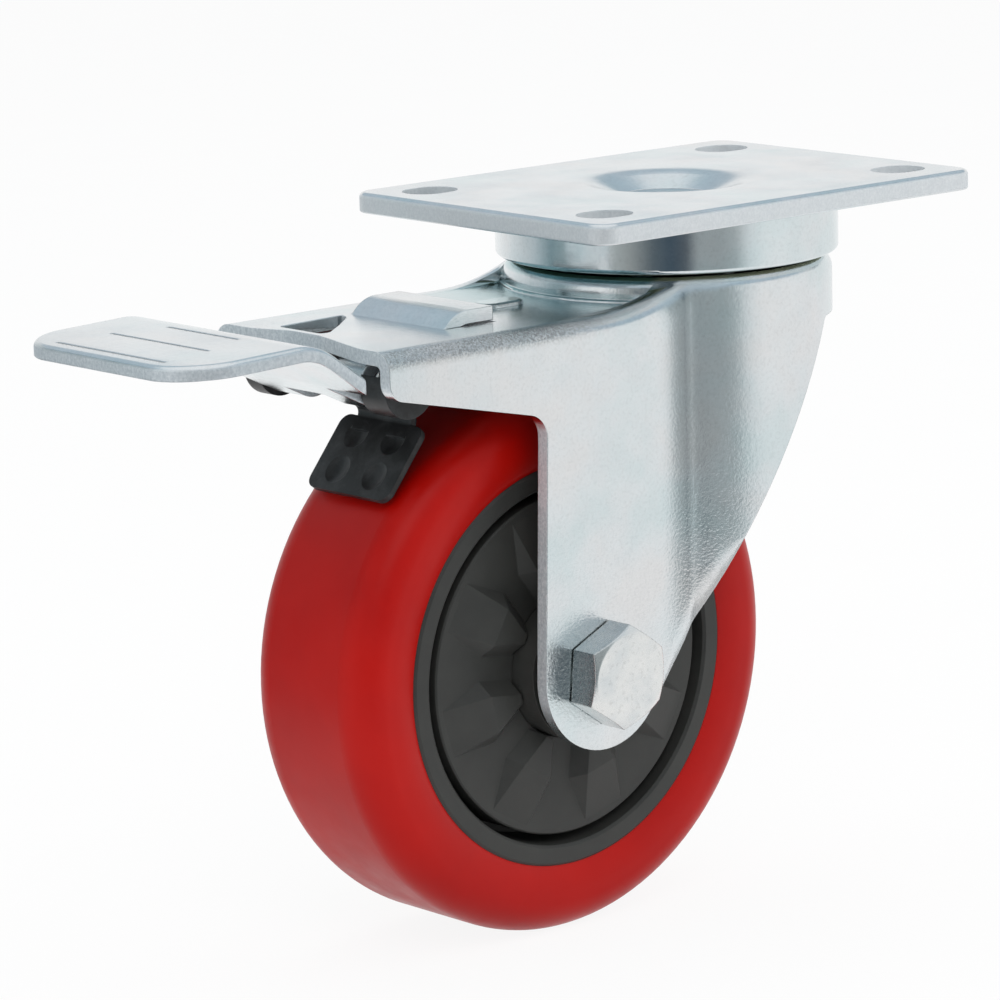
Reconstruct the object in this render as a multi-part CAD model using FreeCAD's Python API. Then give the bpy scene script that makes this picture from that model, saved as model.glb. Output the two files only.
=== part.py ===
import FreeCAD, Part
import math
import os

# Swivel castor with a plate, two ball rows, a pressed fork, a pedal and a wheel.
# Millimetres. Origin: centre of the plate's top face, on the swivel axis.
# +Z is up, the axle lies along Y, and the wheel and the pedal trail towards -X.

# Plate
plate_length = 95.0
plate_width = 68.2
plate_thick = 3.8
plate_corner = 4.0
slot_pitch_x = 74.4
slot_pitch_y = 47.2
slot_width = 8.6
slot_length = 10.8
pin_head_r = 8.8
dish_r = 15.0
dish_depth = 2.8
dish_wall = 1.6

# Swivel head
gap = 0.35
cup_r = 31.8
cup_wall = 2.2
cup_roof = 2.4
cup_bottom = -12.9
cup_over = 1.2
head_r = cup_r - cup_over
head_top = -13.5
head_round = 3.0
dust_wide = 1.3
race_half = 4.0
race_clear = 0.3
upper_ball_r = 2.5
upper_row_r = cup_r - cup_wall - dust_wide - race_clear - race_half
upper_balls = 10
upper_ball_z = head_top + upper_ball_r + 0.1
lower_ball_r = 2.0
lower_row_r = 15.0
lower_balls = 8
king_r = 6.0
lock_r = 21.5
lock_teeth = 24

# Fork sheet
sheet = 2.5
fork_half = 24.6
web_top = -18.2
web_under = web_top - sheet
arm_front = -88.6
bend_r = 3.5
crease_r = 2.0
crease_share = 0.35
sweep_in = 3.1989
sweep_long = 23.0
back_edge_z = -24.4
boss_r = 14.2
strap_half = 12.7

# Axle and wheel
wheel_r = 50.0
wheel_half = 16.0
tyre_top = -32.5
axle_x = -40.0
axle_z = tyre_top - wheel_r
axle_r = 4.95
bolt_flats = 16.6
bolt_turn = 5.0
tread_thick = 12.8
rim_wall = 3.8
cover_gap = 1.9
rim_r = wheel_r - tread_thick
rim_inner_r = rim_r - rim_wall
rim_half = wheel_half - 0.6
cover_r = rim_inner_r - cover_gap
cover_face = rim_half - 0.9
hub_r = 13.4
spacer_wide = 2.0
hub_half = fork_half - sheet - spacer_wide
bearing_r = 11.0
bearing_wide = 6.0
bearing_ball_r = 1.5
bearing_row_r = 8.0
bearing_balls = 7

# Pedal, shoe and lock leaf, all turning on the pedal pin
pin_x = -81.0
pin_z = -25.5
pin_r = 2.15
pin_end_r = 1.5
fit = 0.05
barrel_r = pin_r + fit + sheet
eye_half = 4.8
pedal_half = 25.0
pedal_corner = 11.0
pedal_length = 28.0
crest_x = pin_x - 23.4
pedal_front = crest_x - pedal_length
pedal_rear = crest_x + 11.0
shoe_thick = 1.2
shoe_half = 11.0
shoe_neck_half = 7.3
shoe_gap = 1.4
ear_r = 5.55
ear_wall = 1.35
ear_wide_near = 6.9
ear_wide_far = 4.0
ear_clear = 1.2
neck_clear = 0.6
ear_near = fork_half - sheet - ear_clear
ear_in = ear_near - ear_wide_near
ear_far = ear_in + ear_wide_far
neck_half = ear_in - neck_clear
leaf_thick = 1.4


def vec(x, y, z):
    return FreeCAD.Vector(x, y, z)


def box(x0, x1, y0, y1, z0, z1):
    return Part.makeBox(x1 - x0, y1 - y0, z1 - z0, vec(x0, y0, z0))


def post(r, z0, z1, x=0.0, y=0.0):
    return Part.makeCylinder(r, z1 - z0, vec(x, y, z0))


def rod(r, y0, y1, x=axle_x, z=axle_z):
    return Part.makeCylinder(r, y1 - y0, vec(x, y0, z), vec(0, 1, 0))


def flat_ring(r_out, r_in, z0, z1):
    return post(r_out, z0, z1).cut(post(r_in, z0 - 1, z1 + 1))


def tube(r_out, r_in, y0, y1, x=axle_x, z=axle_z):
    return rod(r_out, y0, y1, x, z).cut(rod(r_in, y0 - 1, y1 + 1, x, z))


def torus(row_r, r, z):
    return Part.makeTorus(row_r, r, vec(0, 0, z))


def join(shapes):
    first = shapes[0]
    return first.fuse(shapes[1:]).removeSplitter()


def mirror(shape):
    return shape.mirror(vec(0, 0, 0), vec(0, 1, 0))


def turned(shape, angle, x, z):
    # Positive angles lower the -X end, seen with +Z up and +X to the right.
    copy = shape.copy()
    copy.rotate(vec(x, 0, z), vec(0, -1, 0), angle)
    return copy


def round_edges(shape, radius, test):
    edges = [e for e in shape.Edges if test(e)]
    return shape.makeFillet(radius, edges)


def at(edge, axis):
    # The one coordinate of an edge that lies in a plane across that axis.
    low = getattr(edge.BoundBox, axis + "Min")
    high = getattr(edge.BoundBox, axis + "Max")
    return (low + high) / 2 if high - low < 0.01 else None


def near(value, goal):
    return value is not None and abs(value - goal) < 0.02


def corner(p0, p1, p2, r):
    # Tangent points and the middle of the arc that rounds the corner at p1.
    a = (p0 - p1).normalize()
    b = (p2 - p1).normalize()
    half = a.getAngle(b) / 2
    reach = r / math.tan(half)
    centre = p1 + (a + b).normalize() * (r / math.sin(half))
    middle = centre + (p1 - centre).normalize() * r
    return p1 + a * reach, middle, p1 + b * reach


def outline(points, radii):
    # A closed flat face from corner points, each rounded by its own radius.
    edges = []
    count = len(points)
    arcs = []
    for i in range(count):
        p = points[i]
        if radii[i]:
            arcs.append(corner(points[i - 1], p, points[(i + 1) % count], radii[i]))
        else:
            arcs.append((p, None, p))
    for i in range(count):
        start, middle, end = arcs[i]
        if middle:
            edges.append(Part.Arc(start, middle, end).toShape())
        after = arcs[(i + 1) % count][0]
        if (after - end).Length > 1e-6:
            edges.append(Part.makeLine(end, after))
    return Part.Face(Part.Wire(Part.__sortEdges__(edges)))


def side_prism(points, radii, y0, y1):
    flat = [vec(x, y0, z) for x, z in points]
    return outline(flat, radii).extrude(vec(0, y1 - y0, 0))


def plan_prism(points, radii, z0, z1):
    flat = [vec(x, y, z0) for x, y in points]
    return outline(flat, radii).extrude(vec(0, 0, z1 - z0))


def bent_side(path, radii, shift, y):
    # One face line of a bent sheet: the centre path moved sideways by shift.
    edges = []
    points = [vec(x, y, z) for x, z in path]
    spot = None
    for i in range(len(points) - 1):
        d = (points[i + 1] - points[i]).normalize()
        side = vec(-d.z, 0, d.x) * shift
        start = spot if spot else points[i] + side
        if i + 2 == len(points):
            edges.append(Part.makeLine(start, points[i + 1] + side))
            spot = points[i + 1] + side
            break
        a, m, b = corner(points[i], points[i + 1], points[i + 2], radii[i])
        after = (points[i + 2] - points[i + 1]).normalize()
        side_after = vec(-after.z, 0, after.x) * shift
        inward = m - points[i + 1]
        turn = 1 if vec(-d.z, 0, d.x).dot(inward) > 0 else -1
        arc_centre = m + inward.normalize() * radii[i]
        mid = arc_centre + (m - arc_centre).normalize() * (radii[i] - turn * shift)
        edges.append(Part.makeLine(start, a + side))
        edges.append(Part.Arc(a + side, mid, b + side_after).toShape())
        spot = b + side_after
    return edges, edges[0].Vertexes[0].Point, spot


def bent_sheet(path, radii, thick, y0, y1):
    # A strip of sheet bent along a path of (x, z) points, from y0 to y1.
    left, left_start, left_end = bent_side(path, radii, thick / 2, y0)
    right, right_start, right_end = bent_side(path, radii, -thick / 2, y0)
    caps = [Part.makeLine(left_start, right_start), Part.makeLine(left_end, right_end)]
    wire = Part.Wire(Part.__sortEdges__(left + right + caps))
    return Part.Face(wire).extrude(vec(0, y1 - y0, 0))


def sector(r_out, r_in, a0, a1, y0, y1):
    # Part of a tube round the pedal pin, between two angles from +X towards +Z.
    def spot(r, a):
        turn = math.radians(a)
        return vec(pin_x + r * math.cos(turn), y0, pin_z + r * math.sin(turn))
    middle = (a0 + a1) / 2
    edges = [Part.Arc(spot(r_out, a0), spot(r_out, middle), spot(r_out, a1)).toShape(),
             Part.Arc(spot(r_in, a0), spot(r_in, middle), spot(r_in, a1)).toShape(),
             Part.makeLine(spot(r_out, a0), spot(r_in, a0)),
             Part.makeLine(spot(r_out, a1), spot(r_in, a1))]
    wire = Part.Wire(Part.__sortEdges__(edges))
    return Part.Face(wire).extrude(vec(0, y1 - y0, 0))


def ball_row(row_r, ball_r, count, z):
    balls = []
    for i in range(count):
        a = 2 * math.pi * i / count
        balls.append(Part.makeSphere(ball_r, vec(row_r * math.cos(a), row_r * math.sin(a), z)))
    return Part.makeCompound(balls)


def pocket_ring(row_r, half, ball_r, count, z, low, high):
    # A cage: a flat ring with a pocket round each ball of its row.
    ring = flat_ring(row_r + half, row_r - half, z + low, z + high)
    return ring.cut(ball_row(row_r, ball_r + fit, count, z).Solids)


def hexagon(flats, y0, y1, turn=0.0):
    r = flats / math.sqrt(3)
    points = []
    for i in range(6):
        a = math.radians(60 * i + 30 - turn)
        points.append((axle_x + r * math.cos(a), axle_z + r * math.sin(a)))
    return side_prism(points, [0] * 6, y0, y1)


def spin(points):
    # A solid of revolution about the axle from (radius, y) corner points.
    flat = [vec(axle_x + r, y, axle_z) for r, y in points]
    face = Part.Face(Part.makePolygon(flat + [flat[0]]))
    return face.revolve(vec(axle_x, 0, axle_z), vec(0, 1, 0), 360)


def tangent(px, pz, side):
    # The point where a line from (px, pz) touches the axle boss; side is -1 or 1.
    dx = px - axle_x
    dz = pz - axle_z
    reach = math.hypot(dx, dz)
    a = math.atan2(dz, dx) - side * math.acos(boss_r / reach)
    return axle_x + boss_r * math.cos(a), axle_z + boss_r * math.sin(a)


def dish_form(top, spread):
    # The cone by which the middle is pressed down, from its wide end at the height top.
    small = pin_head_r + fit + spread
    return Part.makeCone(small, dish_r + spread, dish_depth, vec(0, 0, top - dish_depth))


def top_plate():
    half_x = plate_length / 2
    half_y = plate_width / 2
    points = [(-half_x, -half_y), (half_x, -half_y), (half_x, half_y), (-half_x, half_y)]
    plate = plan_prism(points, [plate_corner] * 4, -plate_thick, 0)
    plate = round_edges(plate, 1.0, lambda e: near(at(e, "Z"), 0))
    plate = round_edges(plate, 0.5, lambda e: near(at(e, "Z"), -plate_thick))
    run = (slot_length - slot_width) / 2
    cutters = []
    for sx in (-1, 1):
        for sy in (-1, 1):
            x = sx * slot_pitch_x / 2
            y = sy * slot_pitch_y / 2
            slot = join([post(slot_width / 2, -5, 1, x - run, y), post(slot_width / 2, -5, 1, x + run, y),
                         box(x - run, x + run, y - slot_width / 2, y + slot_width / 2, -5, 1)])
            cutters.append(slot)
    cutters.append(post(pin_head_r + fit, -20, 1))
    plate = plate.cut(dish_form(0, 0))
    plate = round_edges(plate, 8.0, lambda e: near(at(e, "Z"), 0) and near(e.BoundBox.XMax, dish_r))
    return plate.fuse(dish_form(-plate_thick, dish_wall)).cut(cutters + [dish_form(0, 0)])


def swivel_cup():
    roof = -plate_thick - cup_roof
    cup = post(cup_r, cup_bottom, -plate_thick)
    cup = round_edges(cup, 0.9, lambda e: near(at(e, "Z"), cup_bottom))
    cup = cup.cut([post(cup_r - cup_wall, cup_bottom - 1, roof), dish_form(-plate_thick, dish_wall)])
    cup = cup.fuse(dish_form(roof, 2 * dish_wall).cut(dish_form(-plate_thick, dish_wall)))
    return cup.cut(post(pin_head_r + fit, -20, 0))


def king_pin():
    roof = -plate_thick - cup_roof
    head = post(pin_head_r, roof - dish_depth, -dish_depth)
    head = round_edges(head, 0.5, lambda e: near(at(e, "Z"), -dish_depth))
    shank = post(king_r, lock_under(), roof + 1)
    rivet = post(9.0, lock_under() - 3.2, lock_under())
    rivet = round_edges(rivet, 1.6, lambda e: near(at(e, "Z"), lock_under() - 3.2))
    return join([head, shank, rivet])


def upper_race():
    roof = -plate_thick - cup_roof
    ring = flat_ring(upper_row_r + race_half, upper_row_r - race_half, upper_ball_z + 1.4, roof)
    return ring.cut(torus(upper_row_r, upper_ball_r + gap, upper_ball_z))


def dust_ring():
    outer = cup_r - cup_wall
    return flat_ring(outer, outer - dust_wide, head_top + gap, head_top + 4.5)


def lower_ball_z():
    return head_top - sheet - gap - lower_ball_r


def lock_top():
    return lower_ball_z() - lower_ball_r - 2.0


def lock_under():
    return lock_top() - 2.5


def lower_race():
    ring = flat_ring(lower_row_r + race_half, king_r + fit, lock_top(), lower_ball_z() - 1.1)
    return ring.cut(torus(lower_row_r, lower_ball_r + gap, lower_ball_z()))


def lock_ring():
    ring = flat_ring(lock_r, king_r + fit, lock_under(), lock_top())
    notch = box(lock_r - 2.4, lock_r + 1, -1.3, 1.3, lock_under() - 1, lock_top() + 1)
    notches = []
    for i in range(lock_teeth):
        cutter = notch.copy()
        cutter.rotate(vec(0, 0, 0), vec(0, 0, 1), 360 * i / lock_teeth)
        notches.append(cutter)
    return ring.cut(notches)


def fork_bottom():
    return axle_z - boss_r - 2.3


def crease_x():
    # Where the flat flanks run into the round head.
    return -math.sqrt(head_r ** 2 - fork_half ** 2)


def fork_arms():
    # The flat-sided channel, whose flanks sweep up at the back to the round head.
    back = crease_x() + sweep_in
    start = back - sweep_long
    rise = head_top - 0.1 - web_top
    sweep = (20.0 ** 2 + rise ** 2) / (2 * rise)
    a = math.asin((back - start) / sweep)
    bottom = fork_bottom()
    low = vec(start, -fork_half, web_top)
    mid = low + vec(sweep * math.sin(a / 2), 0, sweep * (1 - math.cos(a / 2)))
    high = low + vec(sweep * math.sin(a), 0, sweep * (1 - math.cos(a)))
    back_low = vec(back, -fork_half, bottom)
    front_low = vec(arm_front, -fork_half, bottom)
    front = vec(arm_front, -fork_half, web_top)
    edges = [Part.Arc(low, mid, high).toShape(), Part.makeLine(high, back_low), Part.makeLine(back_low, front_low),
             Part.makeLine(front_low, front), Part.makeLine(front, low)]
    arms = Part.Face(Part.Wire(edges)).extrude(vec(0, 2 * fork_half, 0))
    arms = round_edges(arms, bend_r, lambda e: e.BoundBox.ZMin > web_top - 0.01 and at(e, "Y") is not None)
    flank = fork_half - 4.6
    channel = box(start - 4, 0, -flank, flank, web_top, 0)
    channel = round_edges(channel, 1.2, lambda e: near(at(e, "Z"), web_top) and e.BoundBox.XMax - e.BoundBox.XMin > 9)
    return arms.cut([channel, box(start, 0, -fork_half, fork_half, head_top - 0.1, 0)])


def fork_outer():
    head = post(head_r, fork_bottom(), head_top)
    head = round_edges(head, head_round, lambda e: near(at(e, "Z"), head_top))
    shell = fork_arms().fuse(head)
    # The round stays a small share of how far the head stands out of the flanks.
    radius = min(crease_r, crease_share * (head_r - fork_half))
    return round_edges(shell, radius, lambda e: near(at(e, "X"), crease_x()) and at(e, "Y") is not None)


def fork_profile():
    # The side view to which the bent blank is cut.
    front_top = (-52.6, -34.2)
    rear_top = (14.2, back_edge_z)
    rear_bend = (axle_x + 19.5, axle_z + 2.2)
    front_touch = tangent(front_top[0], front_top[1], -1)
    rear_touch = tangent(rear_bend[0], rear_bend[1], 1)
    points = [(arm_front, -10), (arm_front, -26.3), front_top, front_touch, (axle_x, axle_z),
              rear_touch, rear_bend, rear_top, (35, back_edge_z), (35, -10)]
    side = side_prism(points, [0, 3.4, 4.6, 0, 0, 0, 40.0, 1.6, 0, 0], -40, 40)
    return side.fuse(rod(boss_r, -40, 40))


def arm_lip():
    # What the swept front edge of the arm leaves out, in plan.
    far = arm_front + 1.3
    hollow = arm_front + 4.3
    past = fork_half + 1.4
    points = [(far, past), (far, 15.5), (hollow, 7.5), (hollow, -1.0), (arm_front, -16.5), (arm_front, -past),
              (arm_front - 5, -past), (arm_front - 5, past)]
    return plan_prism(points, [0, 8.0, 10.0, 14.0, 12.0, 0, 0, 0], -30, -10)


def arm_window():
    # The pierced corner on the far side of the arm, in plan.
    side = strap_half - 0.4
    points = [(-82.9, side), (-82.9, 0.6), (-80.8, 0.6), (-75.0, 5.1), (-68.6, 10.6), (-67.2, side + 1.0)]
    return plan_prism(points, [1.0, 1.0, 1.2, 6.0, 1.0, 0.4], web_under - 1, web_top + 1)


def tongue():
    # The strap lanced out of the arm, raised clear of it and open at one end.
    rise = sheet + 0.3
    mid = web_top - sheet / 2
    path = [(-68.0, mid), (-65.2, mid), (-62.4, mid + rise), (-54.4, mid + rise)]
    return bent_sheet(path, [2.2, 5.5], sheet, -strap_half, strap_half)


def collar_bead():
    bead = flat_ring(head_r + 0.7, head_r - 1, web_top - 0.5, web_top + 0.55)
    bead = round_edges(bead, 0.35, lambda e: near(at(e, "Z"), web_top + 0.55) and e.BoundBox.XMax > head_r)
    return bead.common(box(-40, -20.5, -fork_half + 2, fork_half - 2, -20, -15))


def arm_boss():
    # The small oval embossed between the strap and the head.
    oval = join([post(2.8, web_top - 1, web_top + 0.9, -44.2, 0), post(2.8, web_top - 1, web_top + 0.9, -39.6, 0),
                 box(-44.2, -39.6, -2.8, 2.8, web_top - 1, web_top + 0.9)])
    return round_edges(oval, 0.7, lambda e: near(at(e, "Z"), web_top + 0.9))


def fork():
    inner_half = fork_half - sheet
    outer = fork_outer()
    low = fork_bottom() - 1
    hollow = box(arm_front - 1, 0, -inner_half, inner_half, low, web_under)
    hollow = round_edges(hollow, bend_r - sheet, lambda e: near(at(e, "Z"), web_under)
                         and at(e, "Y") is not None)
    hollow = hollow.fuse(post(head_r - sheet, low, head_top - sheet))
    body = outer.cut(hollow).common(fork_profile())
    slit_half = strap_half + 0.4
    slit = box(-65.4, -54.0, -slit_half, slit_half, web_under - 1, web_top + 5)
    body = body.cut([arm_lip(), slit, arm_window()])
    body = join([body, tongue(), collar_bead(), arm_boss()])
    pockets = rod(pin_end_r + fit, -fork_half + 1.3, fork_half - 1.3, pin_x, pin_z)
    groove = torus(upper_row_r, upper_ball_r + gap, upper_ball_z)
    return body.cut([post(king_r + gap, -30, 0), rod(axle_r + 0.15, -40, 40), pockets, groove])


def pedal_path():
    # The middle line of the pedal's sheet, from its front edge to under the pin.
    crest = (crest_x, -15.68)
    heel = (crest_x + 10.4, -23.1)
    reach = math.hypot(pin_x - heel[0], pin_z - heel[1])
    mean = barrel_r - sheet / 2
    slope = math.atan2(pin_z - heel[1], pin_x - heel[0]) - math.asin(mean / reach)
    run = math.sqrt(reach * reach - mean * mean)
    touch = (heel[0] + run * math.cos(slope), heel[1] + run * math.sin(slope))
    return [(pedal_front, -16.75), (pedal_front + 4.9, -16.45), crest, heel, touch]


def pedal_line(x):
    # The height of the middle line of the pedal's sheet at x, or None off its ends.
    path = pedal_path()
    for i in range(3):
        if path[i][0] <= x <= path[i + 1][0]:
            share = (x - path[i][0]) / (path[i + 1][0] - path[i][0])
            return path[i][1] + share * (path[i + 1][1] - path[i][1])
    return None


def over_path(edge):
    # True for an edge that lies above the middle line of the pedal's sheet.
    spot = edge.valueAt((edge.FirstParameter + edge.LastParameter) / 2)
    height = pedal_line(spot.x)
    return height is not None and spot.z > height


def pedal_plate():
    # The foot plate and its wave, cut to the outline seen from above.
    end = pin_x + 2
    points = [(pedal_front, -pedal_half), (pedal_rear, -pedal_half), (pedal_rear, -neck_half),
              (end, -neck_half), (end, neck_half), (pedal_rear, neck_half),
              (pedal_rear, pedal_half), (pedal_front, pedal_half)]
    radii = [pedal_corner, 1.5, 1.0, 0, 0, 1.0, 1.5, pedal_corner]
    wide = bent_sheet(pedal_path(), [20.0, 11.0, 6.0], sheet, -30, 30)
    plate = wide.common(plan_prism(points, radii, -40, 0))

    def rim(edge):
        spot = edge.valueAt((edge.FirstParameter + edge.LastParameter) / 2)
        side = abs(spot.y) > pedal_half - 0.01 and spot.x < pedal_rear - 1
        front = spot.x < pedal_front + pedal_corner and (abs(spot.y) > 14 or spot.x < pedal_front + 1)
        return (side or front) and over_path(edge) and edge.Length > 0.01
    return round_edges(plate, 1.2, rim)


def pedal():
    barrel = rod(barrel_r, -neck_half, neck_half, pin_x, pin_z)
    body = join([pedal_plate(), barrel])
    grooves = []
    for along, half, depth in ((3.2, 15.0, 0.65), (13.6, 13.5, 0.35), (23.0, 9.7, 0.3)):
        x = pedal_front + along
        floor = pedal_line(x) + sheet / 2 - depth
        grooves.append(box(x - 0.25, x + 0.25, -half, half, floor, floor + 5))
    bore = rod(pin_r + fit, -30, 30, pin_x, pin_z)
    eye_gap = box(pin_x - 6.4, pin_x + 10, -eye_half - gap, eye_half + gap, pin_z - 8, pin_z + 8)
    return body.cut(grooves + [bore, eye_gap])


def pedal_pin():
    shoulder = fork_half - sheet - 0.1
    end = fork_half - 1.35
    return join([rod(pin_r, -shoulder, shoulder, pin_x, pin_z), rod(pin_end_r, -end, end, pin_x, pin_z)])


def brake_shoe():
    length = 15.2
    pad = box(0, length, -shoe_half, shoe_half, -shoe_thick, 0)
    corners = [e for e in pad.Edges if abs(e.BoundBox.ZMax - e.BoundBox.ZMin - shoe_thick) < 0.01]
    pad = pad.makeFillet(2.2, corners)
    dents = [Part.makeSphere(6.0, vec(x, y, 5.3)) for x in (3.6, 10.9) for y in (-5.0, 5.0)]
    pad = pad.cut(dents)
    # Local +X runs down the pad and local +Z faces away from the wheel.
    down = vec(-0.63, 0, -0.776)
    away = vec(-0.776, 0, 0.63)
    across = away.cross(down)
    start = vec(axle_x, 0, axle_z) + away * (wheel_r + shoe_gap + shoe_thick) - down * 18.0
    place = FreeCAD.Matrix(down.x, across.x, away.x, start.x, down.y, across.y, away.y, 0,
                           down.z, across.z, away.z, start.z, 0, 0, 0, 1)
    pad = pad.transformGeometry(place)
    mid = start - away * (shoe_thick / 2)
    neck_path = [(mid.x - 1.7, mid.z - 2.1), (mid.x + 1.0, mid.z + 1.2), (start.x - 1.7, start.z + 3.7),
                 (pin_x + 4.3, pin_z - 3.6)]
    neck = bent_sheet(neck_path, [2.0, 2.5], shoe_thick, -shoe_neck_half, shoe_neck_half)
    trough_r = barrel_r + gap
    pieces = [pad, neck, sector(trough_r + shoe_thick, trough_r, -54, -20, -ear_in, ear_in)]
    for side, out in ((-1, ear_near), (1, ear_far)):
        low, high = sorted((side * ear_in, side * out))
        pieces.append(sector(ear_r, ear_r - ear_wall, -204, -2, low, high))
        cheek_low, cheek_high = sorted((side * (out - 1.2), side * out))
        pieces.append(sector(ear_r, pin_r + fit, -204, -2, cheek_low, cheek_high))
        pieces.append(rod(pin_r + 1.6, cheek_low, cheek_high, pin_x, pin_z))
    shoe = join(pieces)
    return shoe.cut(rod(pin_r + fit, -30, 30, pin_x, pin_z))


def return_springs():
    # A coil on the pin inside each ear of the shoe.
    coil_r = pin_r + 1.0
    wire_r = 0.42
    coils = []
    for start, end in ((-ear_near + 2.0, -ear_in - 0.6), (ear_in + 0.6, ear_far - 2.0)):
        helix = Part.makeLongHelix(1.3, end - start, coil_r)
        profile = Part.Wire([Part.makeCircle(wire_r, vec(coil_r, 0, 0), vec(0, 1, 0))])
        coil = Part.Wire(helix.Edges).makePipeShell([profile], True, True)
        coil.rotate(vec(0, 0, 0), vec(1, 0, 0), -90)
        coil.translate(vec(pin_x, start, pin_z))
        coils.append(coil)
    return Part.makeCompound(coils)


def lock_leaf():
    # The lever that reaches from the pedal pin to the toothed ring.
    end_x = 2.3 - lock_r
    low = pin_z + 0.7
    strip = box(pin_x + 2.4, end_x, -eye_half, eye_half, low, low + leaf_thick)
    broad = box(pin_x + 9, end_x, -8.6, 8.6, low, low + leaf_thick)
    finger = box(end_x - 2.2, end_x, -1.0, 1.0, low, low + leaf_thick + 1.5)
    eye = rod(pin_r + fit + leaf_thick, -eye_half, eye_half, pin_x, pin_z)
    leaf = join([strip, broad, finger, eye])
    leaf = leaf.cut(rod(pin_r + fit, -30, 30, pin_x, pin_z))
    return turned(leaf, -4.4, pin_x, pin_z)


def tyre():
    half = wheel_half
    side = half - 1.0
    bulge = [(rim_r, side), (rim_r + 2.8, half - 0.15), (wheel_r - 6.4, half)]
    arc = []
    for i in range(1, 6):
        a = math.radians(18 * i)
        arc.append((wheel_r - 6.4 + 6.4 * math.sin(a), half - 6.5 + 6.5 * math.cos(a)))
    right = bulge + arc
    left = [(r, -y) for r, y in reversed(right)]
    flat = [vec(axle_x + r, y, axle_z) for r, y in right + left]
    edges = [curve(flat[0:3]), curve(flat[2:8]), Part.makeLine(flat[7], flat[8]),
             curve(flat[8:14]), curve(flat[13:16]), Part.makeLine(flat[15], flat[0])]
    face = Part.Face(Part.Wire(Part.__sortEdges__(edges)))
    return face.revolve(vec(axle_x, 0, axle_z), vec(0, 1, 0), 360)


def curve(points):
    line = Part.BSplineCurve()
    line.interpolate(points)
    return line.toShape()


def wheel_core():
    half = rim_half
    web = 5.0
    right = [(8.0, 0), (8.0, hub_half - bearing_wide), (bearing_r, hub_half - bearing_wide),
             (bearing_r, hub_half), (hub_r, hub_half), (hub_r, web), (rim_inner_r - 0.6, web),
             (rim_inner_r, half - 0.5), (rim_inner_r + 0.5, half), (rim_r - 0.5, half), (rim_r, half - 0.4)]
    left = [(r, -y) for r, y in reversed(right)]
    core = spin(right + left[:-1])
    ribs = []
    for i in range(8):
        for side in (-1, 1):
            low, high = sorted((side * (web - 1), side * (cover_face - 1.8)))
            rib = box(axle_x + hub_r - 1, axle_x + cover_r - 1.9, low, high, axle_z - 1, axle_z + 1)
            rib.rotate(vec(axle_x, 0, axle_z), vec(0, 1, 0), 45 * i + 22)
            ribs.append(rib)
    return join([core] + ribs)


def star_rib():
    # One raised wedge of the cover: flat top, sloping flanks, pointed tips.
    def spot(u, v, h):
        return vec(axle_x + u, -cover_face - h, axle_z + v)
    narrow = 0.414 * 6.6
    tip_r = cover_r - 1.6
    knee_r = hub_r + 7.1
    root_r = hub_r + 0.5
    tip = [spot(tip_r, s * 4.65, 0) for s in (-1, 1)]
    foot = [spot(knee_r, s * 6.1, 0) for s in (-1, 1)]
    foot_in = [spot(root_r, s * (6.1 - narrow), 0) for s in (-1, 1)]
    top = [spot(knee_r, s * 3.5, 2.5) for s in (-1, 1)]
    top_in = [spot(root_r, s * (3.5 - narrow), 2.5) for s in (-1, 1)]
    rings = [[tip[0], foot[0], foot_in[0], foot_in[1], foot[1], tip[1]],
             [tip[0], tip[1], top[1], top[0]],
             [top[0], top[1], top_in[1], top_in[0]],
             [foot_in[0], top_in[0], top_in[1], foot_in[1]]]
    for s in (0, 1):
        rings.append([tip[s], foot[s], top[s]])
        rings.append([foot[s], foot_in[s], top_in[s], top[s]])
    faces = [Part.Face(Part.makePolygon(ring + [ring[0]])) for ring in rings]
    return Part.Solid(Part.Shell(faces))


def hub_covers():
    # The pressed-in covers with eight wedge ribs, one on each side of the wheel.
    near_side = spin([(hub_r + 0.1, -cover_face), (cover_r - 0.3, -cover_face), (cover_r, -cover_face + 0.3),
                      (cover_r, -5.0), (cover_r - 1.3, -5.0), (cover_r - 1.3, -cover_face + 1.5),
                      (hub_r + 0.1, -cover_face + 1.5)])
    ribs = []
    for i in range(8):
        rib = star_rib()
        rib.rotate(vec(axle_x, 0, axle_z), vec(0, -1, 0), 195.6 + 45 * i)
        ribs.append(rib)
    cover = join([near_side] + ribs)
    return Part.makeCompound([cover, mirror(cover)])


def bearing_y():
    return hub_half - bearing_wide / 2


def both_sides(shape):
    return Part.makeCompound([shape, mirror(shape)])


def bearing_groove():
    return Part.makeTorus(bearing_row_r, bearing_ball_r + gap, vec(axle_x, -bearing_y(), axle_z), vec(0, 1, 0))


def bearing_inner_rings():
    ring = tube(6.9, axle_r + fit, -hub_half, -hub_half + bearing_wide)
    return both_sides(ring.cut(bearing_groove()))


def bearing_outer_rings():
    ring = tube(bearing_r, 9.1, -hub_half, -hub_half + bearing_wide)
    return both_sides(ring.cut(bearing_groove()))


def bearing_shields():
    return both_sides(tube(9.1, 7.3, -hub_half, -hub_half + 0.5))


def bearing_ball_list():
    balls = []
    for i in range(bearing_balls):
        a = 2 * math.pi * i / bearing_balls
        spot = vec(axle_x + bearing_row_r * math.cos(a), -bearing_y(), axle_z + bearing_row_r * math.sin(a))
        balls.append(spot)
    return balls


def bearing_ball_rows():
    balls = [Part.makeSphere(bearing_ball_r, spot) for spot in bearing_ball_list()]
    return Part.makeCompound(balls + [mirror(b) for b in balls])


def bearing_cages():
    ring = tube(bearing_row_r + 0.55, bearing_row_r - 0.55, -bearing_y() - 1.7, -bearing_y() + 1.7)
    centre = vec(axle_x, -bearing_y(), axle_z)
    pockets = [Part.makeSphere(bearing_ball_r + fit, spot, spot - centre) for spot in bearing_ball_list()]
    return both_sides(ring.cut(pockets))


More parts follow.
